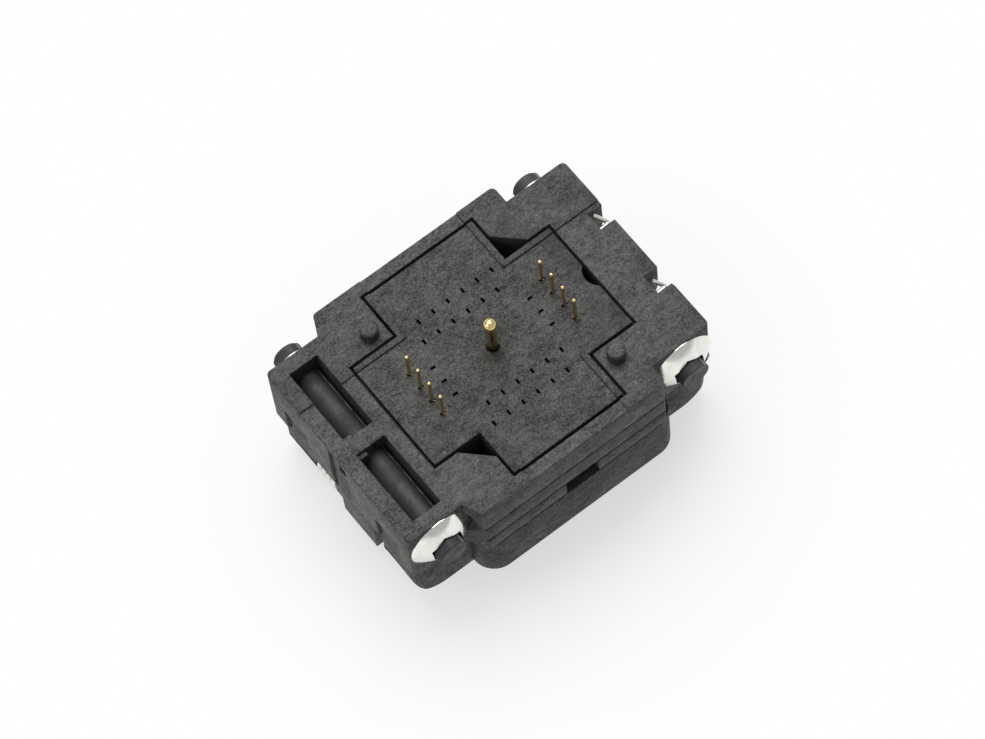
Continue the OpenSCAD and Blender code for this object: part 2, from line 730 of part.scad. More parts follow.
module pad_spring(x, y) {
    wire_r = 0.13;
    coil_r = 0.75;
    low = chamber_floor - spring_seat + wire_r;
    high = pad_seat - pad_flange_t - wire_r;
    color("silver") wire(coil_z(x, y, coil_r, low, high, 4), wire_r, [0, 0, 1], 6);
}

module latch_lever() {
    pick_l = -0.45;          // dimple that a pick releases the latch by
    pick_r = 0.25;
    pick_t = 0.5;
    facet = 0.5;
    foot_t = lever_back - lever_front - 0.15;
    color("dimgray") difference() {
        union() {
            bar_y(pin_x, pin_z, hub_r, lever_left, lever_right);
            box(lever_front, lever_back, -hook_w / 2, hook_w / 2, pin_z, hook_top - 0.8);
            box(lever_front, lever_back, lever_left, lever_right, pin_z, lever_top);
            box(lever_front, lever_front + foot_t, lever_left, lever_right, lever_foot, pin_z);
            along_y(-hook_w / 2, hook_w / 2) polygon([
                [lever_front, hook_top - 0.9], [lever_front + 0.4, hook_top], [hook_tip - 0.15, hook_top],
                [hook_tip, hook_top - 0.2], [hook_tip, rod_z], [lever_front, rod_z]]);
        }
        bar_y(catch_x, rod_z, rod_r + fit_gap, -hook_w, hook_w);
        box(lever_back, hook_tip + 1, -hook_w, hook_w, rod_z - 1, rod_z + 0.2);
        bar_y(pin_x, pin_z, pin_r + run_clear, lever_left - 1, lever_right + 1);
        box(lever_front - 1, lever_front + pick_t, pick_l, pick_r, rod_z - 0.2, rod_z + 0.75);
        translate([lever_front, lever_right, pin_z + 0.2]) rotate([0, 0, 45])
            translate([-1, -facet, -4]) cube([1 + facet, 2 * facet, 4]);
    }
}

module latch_pin() {
    color("silver") bar_y(pin_x, pin_z, pin_r, -pin_half, pin_half);
}

// Torsion spring on the latch pin: one leg behind the lever's foot, the other on the bay wall
module latch_spring() {
    coil_r = 1.25;
    y0 = lever_right + latch_wire_d / 2 + 0.23;
    rise = latch_wire_d + 0.03;
    a1 = 4 * 360;
    a0 = 192;                // where the coil leaves the leg behind the lever
    foot_x = lever_back - 0.15 + latch_wire_d / 2 + 0.08;
    foot_z = pin_z - hub_r - latch_wire_d / 2 - 0.08;
    last_y = y0 + rise * (a1 - a0) / 360;
    path = concat([[foot_x, 0.8, foot_z], [foot_x, y0 - 0.35, foot_z],
                   [foot_x - 0.05, y0 - 0.05, foot_z + 0.2]],
                  coil_y(pin_x, pin_z, coil_r, y0, rise, a0, a1),
                  [[bay_in - 0.9, last_y, pin_z + coil_r], [bay_in - 0.1, last_y, pin_z + coil_r]]);
    color("silver") wire(path, latch_wire_d / 2, [0, 0.999, 0.04]);
}

module contact_1() contact(-1, 0);
module contact_2() contact(-1, 1);
module contact_3() contact(-1, 2);
module contact_4() contact(-1, 3);
module contact_5() contact(1, 0);
module contact_6() contact(1, 1);
module contact_7() contact(1, 2);
module contact_8() contact(1, 3);
module retainer_screw_1() retainer_screw(-screw_x, -screw_y);
module retainer_screw_2() retainer_screw(screw_x, -screw_y);
module retainer_screw_3() retainer_screw(-screw_x, screw_y);
module retainer_screw_4() retainer_screw(screw_x, screw_y);
module pad_spring_1() pad_spring(-spring_x, -spring_y);
module pad_spring_2() pad_spring(spring_x, -spring_y);
module pad_spring_3() pad_spring(-spring_x, spring_y);
module pad_spring_4() pad_spring(spring_x, spring_y);

base_housing();
contact_insulator();
package_guide();
contact_1();
contact_2();
contact_3();
contact_4();
contact_5();
contact_6();
contact_7();
contact_8();
probe_barrel();
probe_spring();
probe_plunger();
catch_rod();
hinge_rod();
catch_push_nut();
hinge_push_nut();
catch_retaining_ring();
hinge_retaining_ring();
hinge_spring_a();
hinge_spring_b();
cover_frame();
pressure_pad();
pad_retainer();
retainer_screw_1();
retainer_screw_2();
retainer_screw_3();
retainer_screw_4();
pad_spring_1();
pad_spring_2();
pad_spring_3();
pad_spring_4();
latch_lever();
latch_pin();
latch_spring();
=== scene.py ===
"""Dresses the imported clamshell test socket: plastics, plated metal, wound springs, floor and light."""

import json
import logging
import math
from collections.abc import Callable
from dataclasses import dataclass, field
from enum import Enum

import bmesh
import bpy
from mathutils import Euler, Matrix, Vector

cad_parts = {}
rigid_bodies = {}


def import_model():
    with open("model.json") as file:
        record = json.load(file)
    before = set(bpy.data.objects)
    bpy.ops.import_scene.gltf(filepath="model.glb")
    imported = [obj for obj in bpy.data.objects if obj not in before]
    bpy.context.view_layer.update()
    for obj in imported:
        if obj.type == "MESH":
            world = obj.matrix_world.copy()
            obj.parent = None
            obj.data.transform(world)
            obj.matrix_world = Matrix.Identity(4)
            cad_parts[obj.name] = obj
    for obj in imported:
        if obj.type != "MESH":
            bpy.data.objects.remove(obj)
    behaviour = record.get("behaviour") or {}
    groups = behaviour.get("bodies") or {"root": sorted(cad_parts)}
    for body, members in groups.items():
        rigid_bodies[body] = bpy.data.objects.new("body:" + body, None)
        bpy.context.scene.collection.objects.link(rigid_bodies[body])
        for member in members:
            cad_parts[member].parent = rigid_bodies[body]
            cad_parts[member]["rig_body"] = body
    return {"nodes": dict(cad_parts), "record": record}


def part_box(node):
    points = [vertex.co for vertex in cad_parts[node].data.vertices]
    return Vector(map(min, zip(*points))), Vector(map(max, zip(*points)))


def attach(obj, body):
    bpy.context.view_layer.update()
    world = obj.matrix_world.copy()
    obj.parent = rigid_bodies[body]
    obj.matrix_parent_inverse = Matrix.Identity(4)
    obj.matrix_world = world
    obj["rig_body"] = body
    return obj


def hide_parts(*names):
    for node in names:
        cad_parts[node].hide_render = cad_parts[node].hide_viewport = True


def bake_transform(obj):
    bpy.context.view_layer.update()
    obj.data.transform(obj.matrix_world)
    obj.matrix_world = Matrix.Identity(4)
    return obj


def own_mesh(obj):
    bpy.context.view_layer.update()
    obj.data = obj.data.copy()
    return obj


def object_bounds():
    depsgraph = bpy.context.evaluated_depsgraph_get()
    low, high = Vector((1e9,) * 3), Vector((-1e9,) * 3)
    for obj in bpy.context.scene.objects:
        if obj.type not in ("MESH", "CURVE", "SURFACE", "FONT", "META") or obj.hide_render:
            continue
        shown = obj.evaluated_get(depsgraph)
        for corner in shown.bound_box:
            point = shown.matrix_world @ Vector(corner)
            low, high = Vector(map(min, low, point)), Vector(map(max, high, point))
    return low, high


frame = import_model()
CAD_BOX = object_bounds()

MM = 0.001
MICRON = 0.000001
# Faces painted paler: worn edges, painted edge highlights and the rods' painted glints.
EDGE = "edge"

FLOAT = "NodeSocketFloat"
VECTOR = "NodeSocketVector"

Colour = tuple[float, float, float]
Material = bpy.types.Material
Node = bpy.types.Node
Piece = bpy.types.Object
Socket = bpy.types.NodeSocket

logging.basicConfig(level=logging.INFO, format="%(message)s")
LOG = logging.getLogger("socket")


class Metal(Enum):
    """The plated and bare metals of the socket."""

    NICKEL = "nickel"
    GOLD = "gold"
    WIRE = "wire"
    STAINLESS = "stainless"
    BLACKENED = "blackened"


# ---- node graphs


@dataclass
class Graph:
    """A short hand for building a node tree.

    Attributes:
        tree: The node tree that the nodes go into.
    """

    tree: bpy.types.NodeTree

    def add(self, kind: str, values: dict | None = None, **settings: object) -> Node:
        """Adds a node.

        Args:
            kind: The node's type name.
            values: Constants for its input sockets, by name or number.
            **settings: Properties of the node itself.

        Returns:
            The new node.
        """
        node = self.tree.nodes.new(kind)
        for name, value in settings.items():
            setattr(node, name, value)
        for key, value in (values or {}).items():
            node.inputs[key].default_value = value
        return node

    def link(self, output: Socket, socket: Socket) -> None:
        """Joins an output to an input."""
        self.tree.links.new(output, socket)

    def math(self, operation: str, a: Socket, b: Socket | float) -> Socket:
        """Adds a clamped Math node.

        Args:
            operation: The operation's name.
            a: The first operand.
            b: The second operand, a socket or a number.

        Returns:
            The result's socket.
        """
        node = self.add("ShaderNodeMath", operation=operation, use_clamp=True)
        self.link(a, node.inputs[0])
        if isinstance(b, Socket):
            self.link(b, node.inputs[1])
        else:
            node.inputs[1].default_value = b
        return node.outputs[0]

    def times(self, a: Socket, b: Socket | float) -> Socket:
        """Multiplies two values, clamped."""
        return self.math("MULTIPLY", a, b)

    def noise(self, vector: Socket, values: dict, **linked: Socket) -> Socket:
        """Adds a noise texture.

        Args:
            vector: The coordinates that it follows.
            values: Its constants.
            **linked: Sockets that feed its other inputs, by the input's name.

        Returns:
            The noise's socket.
        """
        node = self.add("ShaderNodeTexNoise", values)
        self.link(vector, node.inputs["Vector"])
        for name, socket in linked.items():
            self.link(socket, node.inputs[name])
        return node.outputs["Fac"]

    def remap(self, value: Socket, low: float, high: float, to_low: float = 0.0,
              to_high: float = 1.0) -> Socket:
        """Stretches a stretch of values over another.

        Args:
            value: The value to stretch.
            low: Where the source stretch starts.
            high: Where it ends.
            to_low: What the start becomes.
            to_high: What the end becomes.

        Returns:
            The stretched value's socket.
        """
        node = self.add("ShaderNodeMapRange", {1: low, 2: high, 3: to_low, 4: to_high})
        self.link(value, node.inputs[0])
        return node.outputs[0]

    def mix(self, factor: Socket, a: Socket | Colour, b: Socket | Colour) -> Socket:
        """Mixes two colours.

        Args:
            factor: How much of the second there is.
            a: The first colour, a socket or a value.
            b: The second colour, a socket or a value.

        Returns:
            The mixed colour's socket.
        """
        node = self.add("ShaderNodeMix", data_type="RGBA")
        self.link(factor, node.inputs[0])
        for index, colour in ((6, a), (7, b)):
            if isinstance(colour, Socket):
                self.link(colour, node.inputs[index])
            else:
                node.inputs[index].default_value = (*colour, 1.0)
        return node.outputs[2]


@dataclass
class GroupGraph(Graph):
    """The inside of a node group.

    Attributes:
        entry: The node that gives the group's inputs.
        result: The node that takes its outputs.
    """

    entry: Node
    result: Node

    def given(self, name: str) -> Socket:
        """Returns one of the group's inputs."""
        return self.entry.outputs[name]

    def give(self, name: str, output: Socket) -> None:
        """Sends a value out of the group."""
        self.link(output, self.result.inputs[name])


@dataclass(frozen=True)
class Effect:
    """A shader node group that more than one finish uses.

    Attributes:
        name: The group's name.
        inputs: Socket names, types and default values.
        outputs: Socket names and types.
    """

    name: str
    inputs: tuple
    outputs: tuple

    def build(self) -> bpy.types.NodeTree:
        """Makes the group once and returns it from then on.

        Returns:
            The node group.
        """
        tree = bpy.data.node_groups.get(self.name)
        if tree:
            return tree
        tree = bpy.data.node_groups.new(self.name, "ShaderNodeTree")
        for name, kind, value in self.inputs:
            socket = tree.interface.new_socket(name=name, in_out="INPUT", socket_type=kind)
            if value is not None:
                socket.default_value = value
        for name, kind in self.outputs:
            tree.interface.new_socket(name=name, in_out="OUTPUT", socket_type=kind)
        entry = tree.nodes.new("NodeGroupInput")
        self.fill(GroupGraph(tree, entry, tree.nodes.new("NodeGroupOutput")))
        return tree

    def fill(self, graph: GroupGraph) -> None:
        """Builds the inside of the group in its own graph."""
        raise NotImplementedError

    def place(self, graph: Graph, vector: Socket, values: dict | None = None) -> Node:
        """Places the group in a material.

        Args:
            graph: The material's graph.
            vector: The coordinates that the effect follows.
            values: Constants for its other inputs.

        Returns:
            The group node.
        """
        node = graph.add("ShaderNodeGroup", node_tree=self.build())
        for key, value in (values or {}).items():
            node.inputs[key].default_value = value
        graph.link(vector, node.inputs["Vector"])
        return node


@dataclass(frozen=True)
class FibreFlecks(Effect):
    """Short pale glass fibres that show at the skin of a filled plastic, in two directions.

    Attributes:
        lays: The turn and the stretch of each layer of fibres.
        streak: The noise that the fibres are cut from.
        fade: How far over the threshold a streak shows in full.
        grain: The noise of the skin's own grain.
        grain_share: How much of the height is grain.
        fibre_share: How much of it is fibres.
    """

    name: str = "fibre_flecks"
    inputs: tuple = (("Vector", VECTOR, None), ("Scale", FLOAT, 6500.0), ("Threshold", FLOAT, 0.62))
    outputs: tuple = (("Mask", FLOAT), ("Height", FLOAT))
    lays: tuple = (((0.0, 0.3, 0.5), (1.0, 0.5, 1.0)), ((0.4, 0.0, 2.1), (1.0, 0.45, 0.9)))
    streak: dict = field(default_factory=lambda: {"Detail": 2.0, "Roughness": 0.55, "Distortion": 0.6})
    fade: float = 0.09
    grain: dict = field(default_factory=lambda: {"Scale": 9000.0, "Detail": 3.0, "Roughness": 0.6})
    grain_share: float = 0.7
    fibre_share: float = 0.3

    def fill(self, graph: GroupGraph) -> None:
        """Builds two crossed layers of streaks and joins them.

        Args:
            graph: The group's own graph.
        """
        layers = []
        for turn, stretch in self.lays:
            layer = graph.add("ShaderNodeMapping", {"Rotation": turn, "Scale": stretch})
            graph.link(graph.given("Vector"), layer.inputs["Vector"])
            streaks = graph.noise(layer.outputs["Vector"], self.streak, Scale=graph.given("Scale"))
            over = graph.math("SUBTRACT", streaks, graph.given("Threshold"))
            layers.append(graph.remap(over, 0.0, self.fade))
        mask = graph.math("MAXIMUM", layers[0], layers[1])
        graph.give("Mask", mask)
        grain = graph.noise(graph.given("Vector"), self.grain)
        fibres = graph.times(mask, self.fibre_share)
        graph.give("Height", graph.math("ADD", graph.times(grain, self.grain_share), fibres))


@dataclass(frozen=True)
class Clouds(Effect):
    """Changes of tone where the melt flowed and cooled, or where plating is uneven.

    Attributes:
        middle: The stretch of the noise that is spread from 0 to 1.
    """

    name: str = "clouds"
    inputs: tuple = (("Vector", VECTOR, None), ("Scale", FLOAT, 300.0),
                     ("Detail", FLOAT, 3.0), ("Roughness", FLOAT, 0.6))
    outputs: tuple = (("Value", FLOAT),)
    middle: tuple[float, float] = (0.40, 0.60)

    def fill(self, graph: GroupGraph) -> None:
        """Builds one distorted noise and spreads its middle.

        Args:
            graph: The group's own graph.
        """
        linked = {name: graph.given(name) for name in ("Scale", "Detail", "Roughness")}
        noise = graph.noise(graph.given("Vector"), {"Distortion": 0.6}, **linked)
        graph.give("Value", graph.remap(noise, *self.middle))


@dataclass(frozen=True)
class EdgeWearAndHighlight(Effect):
    """Paler edges, part rubbing and part painted edge highlight: breaks up the strips that the rounding
    left.

    Attributes:
        broken: The stretch of the noise over which a strip goes from least pale to most pale.
        least: How pale a strip is at least.
    """

    name: str = "edge_wear_and_highlight"
    inputs: tuple = (("Vector", VECTOR, None), ("Edge", FLOAT, 0.0), ("Scale", FLOAT, 900.0))
    outputs: tuple = (("Mask", FLOAT),)
    broken: tuple[float, float] = (0.36, 0.62)
    least: float = 0.15

    def fill(self, graph: GroupGraph) -> None:
        """Multiplies the strips by a broken noise.

        Args:
            graph: The group's own graph.
        """
        noise = graph.noise(graph.given("Vector"), {"Detail": 3.0, "Roughness": 0.6},
                            Scale=graph.given("Scale"))
        broken = graph.remap(noise, *self.broken, self.least, 1.0)
        graph.give("Mask", graph.times(broken, graph.given("Edge")))


@dataclass(frozen=True)
class Dust(Effect):
    """Sparse pale specks of lint and moulding dust.

    Attributes:
        patch_scale: The scale of the patches that the specks lie in.
        patch: The stretch of the patches' noise over which specks start to show.
    """

    name: str = "dust"
    inputs: tuple = (("Vector", VECTOR, None), ("Scale", FLOAT, 1900.0), ("Size", FLOAT, 0.11))
    outputs: tuple = (("Mask", FLOAT),)
    patch_scale: float = 420.0
    patch: tuple[float, float] = (0.60, 0.66)

    def fill(self, graph: GroupGraph) -> None:
        """Keeps the hearts of some cells only.

        Args:
            graph: The group's own graph.
        """
        cells = graph.add("ShaderNodeTexVoronoi", {"Randomness": 1.0})
        graph.link(graph.given("Vector"), cells.inputs["Vector"])
        graph.link(graph.given("Scale"), cells.inputs["Scale"])
        near = graph.math("LESS_THAN", cells.outputs["Distance"], graph.given("Size"))
        patches = graph.noise(graph.given("Vector"), {"Scale": self.patch_scale, "Detail": 2.0})
        graph.give("Mask", graph.times(near, graph.remap(patches, *self.patch)))


# ---- finishes


def new_material(name: str) -> tuple[Material, Graph, Node, Socket]:
    """Starts a node material.

    Args:
        name: The material's name.

    Returns:
        The material, its graph, its Principled shader and the object coordinates.
    """
    material = bpy.data.materials.new(name)
    material.use_nodes = True
    graph = Graph(material.node_tree)
    shader = material.node_tree.nodes["Principled BSDF"]
    place = graph.add("ShaderNodeTexCoord")
    return material, graph, shader, place.outputs["Object"]


def worn_and_lit_edges(graph: Graph, vector: Socket, values: dict | None = None) -> Node:
    """Places the paler edges, worn and painted as highlights, and feeds them the strips of a piece.

    Args:
        graph: The material's graph.
        vector: The object coordinates.
        values: Constants for the effect.

    Returns:
        The group node.
    """
    edge = graph.add("ShaderNodeAttribute", attribute_name=EDGE)
    wear_and_highlight = EdgeWearAndHighlight().place(graph, vector, values)
    graph.link(edge.outputs["Fac"], wear_and_highlight.inputs["Edge"])
    return wear_and_highlight


def raise_grain(graph: Graph, shader: Node, height: Socket, strength: float, relief: float) -> None:
    """Gives a material its relief.

    Args:
        graph: The material's graph.
        shader: Its Principled shader.
        height: The height over the surface, from 0 to 1.
        strength: How strongly it shows.
        relief: How deep it is, in metres.
    """
    bump = graph.add("ShaderNodeBump", {"Strength": strength, "Distance": relief})
    graph.link(height, bump.inputs["Height"])
    graph.link(bump.outputs["Normal"], shader.inputs["Normal"])


@dataclass(frozen=True)
class MouldedPlastic:
    """Glass-filled black plastic as it leaves the mould.

    Attributes:
        name: The material's name.
        dark: Its colour where the skin is rich.
        pale: Its colour where the skin is dry.
        fleck: The colour of the fibres at the skin.
        roughness: Its middle roughness.
        threshold: How strong a streak must be to show; lower shows more.
        relief: How deep the grain is, in metres.
        flow: How the mottle is stretched by the flow of the melt.
        scales: The scales of the clouds, the mottle and the grain.
        shares: How much of the tone each of the three gives.
        fleck_share: How strongly the fibres show.
        worn_and_lit_share: How strongly the paler edges show, part rubbing and part painted highlight.
        dust_share: How strongly the dust shows.
        lint: The dust's colour.
        rougher: How much rougher the rich skin is.
        smoother: How much smoother the dry skin is.
        skin: The tones that count as rich and as dry.
        specular: How strongly the skin reflects.
        bump: How strongly the grain shows.
    """

    name: str
    dark: Colour = (0.020, 0.020, 0.0205)
    pale: Colour = (0.106, 0.106, 0.104)
    fleck: Colour = (0.20, 0.20, 0.196)
    roughness: float = 0.55
    threshold: float = 0.66
    relief: float = 16 * MICRON
    flow: tuple[float, float, float] = (0.55, 1.0, 1.0)
    scales: tuple[float, float, float] = (380.0, 2100.0, 8000.0)
    shares: tuple[float, float, float] = (0.18, 0.42, 0.40)
    fleck_share: float = 0.6
    worn_and_lit_share: float = 0.5
    dust_share: float = 0.35
    lint: Colour = (0.45, 0.45, 0.44)
    rougher: float = 0.16
    smoother: float = 0.12
    skin: tuple[float, float] = (0.1, 0.9)
    specular: float = 0.28
    bump: float = 0.7

    def build(self) -> Material:
        """Makes the material.

        Returns:
            The material.
        """
        material, graph, shader, vector = new_material(self.name)
        clouds = Clouds().place(graph, vector, {"Scale": self.scales[0]})
        flow = graph.add("ShaderNodeMapping", {"Scale": self.flow})
        graph.link(vector, flow.inputs["Vector"])
        mottle = Clouds().place(graph, flow.outputs["Vector"],
                                {"Scale": self.scales[1], "Detail": 4.0, "Roughness": 0.85})
        grain = Clouds().place(graph, vector, {"Scale": self.scales[2], "Detail": 0.0})
        flecks = FibreFlecks().place(graph, vector, {"Threshold": self.threshold})
        dust = Dust().place(graph, vector)
        # Paler edges: part rubbing, part painted edge highlight.
        wear_and_highlight = worn_and_lit_edges(graph, vector)

        layers = [graph.times(layer.outputs["Value"], share)
                  for layer, share in zip((clouds, mottle, grain), self.shares)]
        tone = graph.math("ADD", graph.math("ADD", layers[0], layers[1]), layers[2])
        colour = graph.mix(tone, self.dark, self.pale)
        for mask, share, over in ((flecks, self.fleck_share, self.fleck),
                                  (wear_and_highlight, self.worn_and_lit_share, self.fleck),
                                  (dust, self.dust_share, self.lint)):
            colour = graph.mix(graph.times(mask.outputs["Mask"], share), colour, over)
        graph.link(colour, shader.inputs["Base Color"])
        rough = graph.remap(tone, *self.skin, self.roughness + self.rougher, self.roughness - self.smoother)
        graph.link(rough, shader.inputs["Roughness"])
        raise_grain(graph, shader, flecks.outputs["Height"], self.bump, self.relief)
        shader.inputs["Specular IOR Level"].default_value = self.specular
        return material


@dataclass(frozen=True)
class MetalFinish:
    """A plated or bare metal surface.

    Attributes:
        kind: Which metal it is.
        colour: Its bright colour.
        tarnish: Its colour where the surface is dull.
        roughness: Its middle roughness.
        metallic: How metallic it is.
        relief: How deep the rolling and handling marks are, in metres.
        bare_and_glint: Its colour on worn edges, on painted glints and on painted reflections; None leaves
            it bright.
        scales: The scales of the tarnish, of the fine marks and of the paler edges and painted glints.
        tarnish_share: How strongly the tarnish shows.
        worn_and_lit_share: How strongly the paler edges and painted glints show.
        uneven: How far the roughness goes down and up with the tarnish.
        marks: How much the fine marks add to the roughness.
        bump: How strongly their relief shows.
    """

    kind: Metal
    colour: Colour
    tarnish: Colour
    roughness: float
    metallic: float = 1.0
    relief: float = 4 * MICRON
    bare_and_glint: Colour | None = None
    scales: tuple[float, float, float] = (700.0, 2600.0, 1600.0)
    tarnish_share: float = 0.5
    worn_and_lit_share: float = 0.5
    uneven: float = 0.06
    marks: float = 0.1
    bump: float = 0.5

    def build(self) -> Material:
        """Makes the material.

        Returns:
            The material.
        """
        material, graph, shader, vector = new_material(f"{self.kind.value}_metal")
        clouds = Clouds().place(graph, vector, {"Scale": self.scales[0]})
        fine = Clouds().place(graph, vector, {"Scale": self.scales[1]})
        # Paler edges and marks: part rubbing, part painted highlight; on the rods, painted glints.
        wear_and_highlight = worn_and_lit_edges(graph, vector, {"Scale": self.scales[2]})
        dull = graph.times(clouds.outputs["Value"], self.tarnish_share)
        tone = graph.mix(dull, self.colour, self.tarnish)
        glint_and_rub = graph.times(wear_and_highlight.outputs["Mask"], self.worn_and_lit_share)
        graph.link(graph.mix(glint_and_rub, tone, self.bare_and_glint or self.colour), shader.inputs["Base Color"])
        marks = graph.remap(fine.outputs["Value"], 0.0, 1.0, 0.0, self.marks)
        middle = graph.remap(clouds.outputs["Value"], 0.0, 1.0, self.roughness - self.uneven,
                             self.roughness + self.uneven)
        graph.link(graph.math("ADD", marks, middle), shader.inputs["Roughness"])
        shader.inputs["Metallic"].default_value = self.metallic
        raise_grain(graph, shader, fine.outputs["Value"], self.bump, self.relief)
        return material


@dataclass
class Finishes:
    """Every finish of the socket, made on first use.

    Attributes:
        made: The materials made so far, by slot.
    """

    made: dict[str, Material] = field(default_factory=dict)

    def get(self, slot: str) -> Material:
        """Finds or makes the material of a slot.

        Args:
            slot: The record's material slot.

        Returns:
            The material.
        """
        if slot not in self.made:
            self.made[slot] = FINISH_OF_SLOT[slot].build()
        return self.made[slot]


FINISH_OF_SLOT = {
    "base_plastic": MouldedPlastic("base_plastic"),
    "insulator_plastic": MouldedPlastic("insulator_plastic", dark=(0.010, 0.010, 0.0105),
                                        pale=(0.081, 0.081, 0.078)),
    "cover_plastic": MouldedPlastic("cover_plastic", dark=(0.020, 0.020, 0.021),
                                    pale=(0.124, 0.124, 0.127)),
    "latch_plastic": MouldedPlastic("latch_plastic", dark=(0.012, 0.012, 0.013), pale=(0.100, 0.100, 0.103),
                                    roughness=0.48),
    "pad_plastic": MouldedPlastic("pad_plastic", dark=(0.004, 0.004, 0.0045), pale=(0.044, 0.044, 0.045),
                                  roughness=0.5),
    "gold_plate": MetalFinish(Metal.GOLD, (0.98, 0.76, 0.35), (0.74, 0.54, 0.21), 0.15,
                              relief=0.1 * MICRON),
    "spring_wire": MetalFinish(Metal.WIRE, (0.90, 0.90, 0.86), (0.72, 0.72, 0.68), 0.30),
    # The rods' paler colour also paints their glint line and the reflection on their ends.
    "rod_black": MetalFinish(Metal.BLACKENED, (0.044, 0.045, 0.048), (0.024, 0.025, 0.027), 0.6,
                             metallic=0.1, relief=9 * MICRON, bare_and_glint=(0.80, 0.80, 0.80)),
    "nut_nickel": MetalFinish(Metal.NICKEL, (0.86, 0.85, 0.80), (0.74, 0.73, 0.68), 0.14,
                              relief=0.5 * MICRON),
    "stainless": MetalFinish(Metal.STAINLESS, (0.64, 0.64, 0.63), (0.50, 0.50, 0.49), 0.3,
                             relief=MICRON),
}


# ---- modelling

JOIN = 2 * MICRON  # corners closer than this are one
FLAT = math.radians(0.4)  # faces that fold less are one
ROUND_FOLD = 32.0  # turned faces that fold less are shaded as one, in degrees
WIRE_FOLD = 40.0
CUT_FOLD = 36.0
ON_SIDE = 0.1  # a face whose normal lies less than this along the rod is on its side
ON_END = 0.95  # and more than this, on an end
HEX = 6


def deselect() -> None:
    """Leaves nothing selected."""
    bpy.ops.object.select_all(action="DESELECT")


def pick(obj: Piece) -> None:
    """Makes one object the selected and active one.

    Args:
        obj: The object.
    """
    deselect()
    obj.select_set(True)
    bpy.context.view_layer.objects.active = obj


def start_edit(obj: Piece) -> None:
    """Opens a piece's mesh with all of it selected.

    Args:
        obj: The piece.
    """
    pick(obj)
    bpy.ops.object.mode_set(mode="EDIT")
    bpy.ops.mesh.select_all(action="SELECT")


def end_edit() -> None:
    """Closes the mesh with nothing selected."""
    bpy.ops.mesh.select_all(action="DESELECT")
    bpy.ops.object.mode_set(mode="OBJECT")


def smooth(fold: float) -> None:
    """Shades the active piece as round wherever it folds less than this, in degrees."""
    bpy.ops.object.shade_smooth_by_angle(angle=math.radians(fold))


def centre_of(node: str) -> Vector:
    """Returns the middle of a node's box."""
    low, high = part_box(node)
    return (low + high) / 2


def material_slot(node: str) -> str:
    """Finds a node's material slot in the record.

    Args:
        node: The CAD node.

    Returns:
        The slot's name.
    """
    for part in frame["record"]["subparts"]:
        if part["node"] == node:
            return part["material_slot"]
    raise KeyError(node)


def body_of(node: str) -> str:
    """Returns the body that a node belongs to."""
    return frame["nodes"][node]["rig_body"]


def cad_copy(node: str, name: str) -> Piece:
    """Copies a CAD node into a clean mesh with joined faces.

    Args:
        node: The CAD node.
        name: The new object's name.

    Returns:
        The new object, in place.
    """
    source = frame["nodes"][node]
    obj = bpy.data.objects.new(name, source.data.copy())
    bpy.context.scene.collection.objects.link(obj)
    obj.data.materials.clear()
    if obj.data.has_custom_normals:
        pick(obj)
        bpy.ops.mesh.customdata_custom_splitnormals_clear()
    start_edit(obj)
    bpy.ops.mesh.remove_doubles(threshold=JOIN)
    bpy.ops.mesh.dissolve_limited(angle_limit=FLAT)
    end_edit()
    return obj


@dataclass(frozen=True)
class Rounding:
    """How the outer edges of a piece are rounded.

    Attributes:
        width: The bevel's width, in metres.
        run: The shortest line of edges that is rounded, in metres.
        angle: The least fold that counts as an edge, in degrees.
        segments: How many faces the rounding has.
        shade: The fold up to which faces are shaded as one, in degrees.
    """

    width: float = 0.06 * MM
    run: float = 1.6 * MM
    angle: float = 32.0
    segments: int = 2
    shade: float = 28.0

    def weigh(self, obj: Piece) -> int:
        """Marks the outward edges that lie in long enough lines.

        Args:
            obj: The object to mark.

        Returns:
            How many edges are marked.
        """
        mesh = bmesh.new()
        mesh.from_mesh(obj.data)
        weight = mesh.edges.layers.float.new("bevel_weight_edge")
        fold = math.radians(self.angle)
        sharp = {e for e in mesh.edges
                 if len(e.link_faces) == 2 and e.is_convex and e.calc_face_angle(0.0) > fold}
        marked = 0
        while sharp:
            line = []
            queue = [sharp.pop()]
            while queue:
                edge = queue.pop()
                line.append(edge)
                for other in {o for v in edge.verts for o in v.link_edges if o in sharp}:
                    sharp.discard(other)
                    queue.append(other)
            if sum(e.calc_length() for e in line) >= self.run:
                marked += len(line)
                for edge in line:
                    edge[weight] = 1.0
        mesh.to_mesh(obj.data)
        mesh.free()
        return marked

    def apply(self, obj: Piece) -> None:
        """Rounds the marked edges and paints the strips for the paler edges, part rubbing and part painted
        highlight.

        Args:
            obj: The object to round.
        """
        marked = self.weigh(obj)
        pick(obj)
        if marked:
            bevel = obj.modifiers.new("round", "BEVEL")
            bevel.limit_method = "WEIGHT"
            bevel.width = self.width
            bevel.segments = self.segments
            bevel.use_clamp_overlap = False
            bevel.material = 1
            bevel.miter_outer = "MITER_ARC"
            bpy.ops.object.modifier_apply(modifier=bevel.name)
        paint_edge(obj, lambda face: float(face.material_index == 1))
        for face in obj.data.polygons:
            face.material_index = 0
        smooth(self.shade)


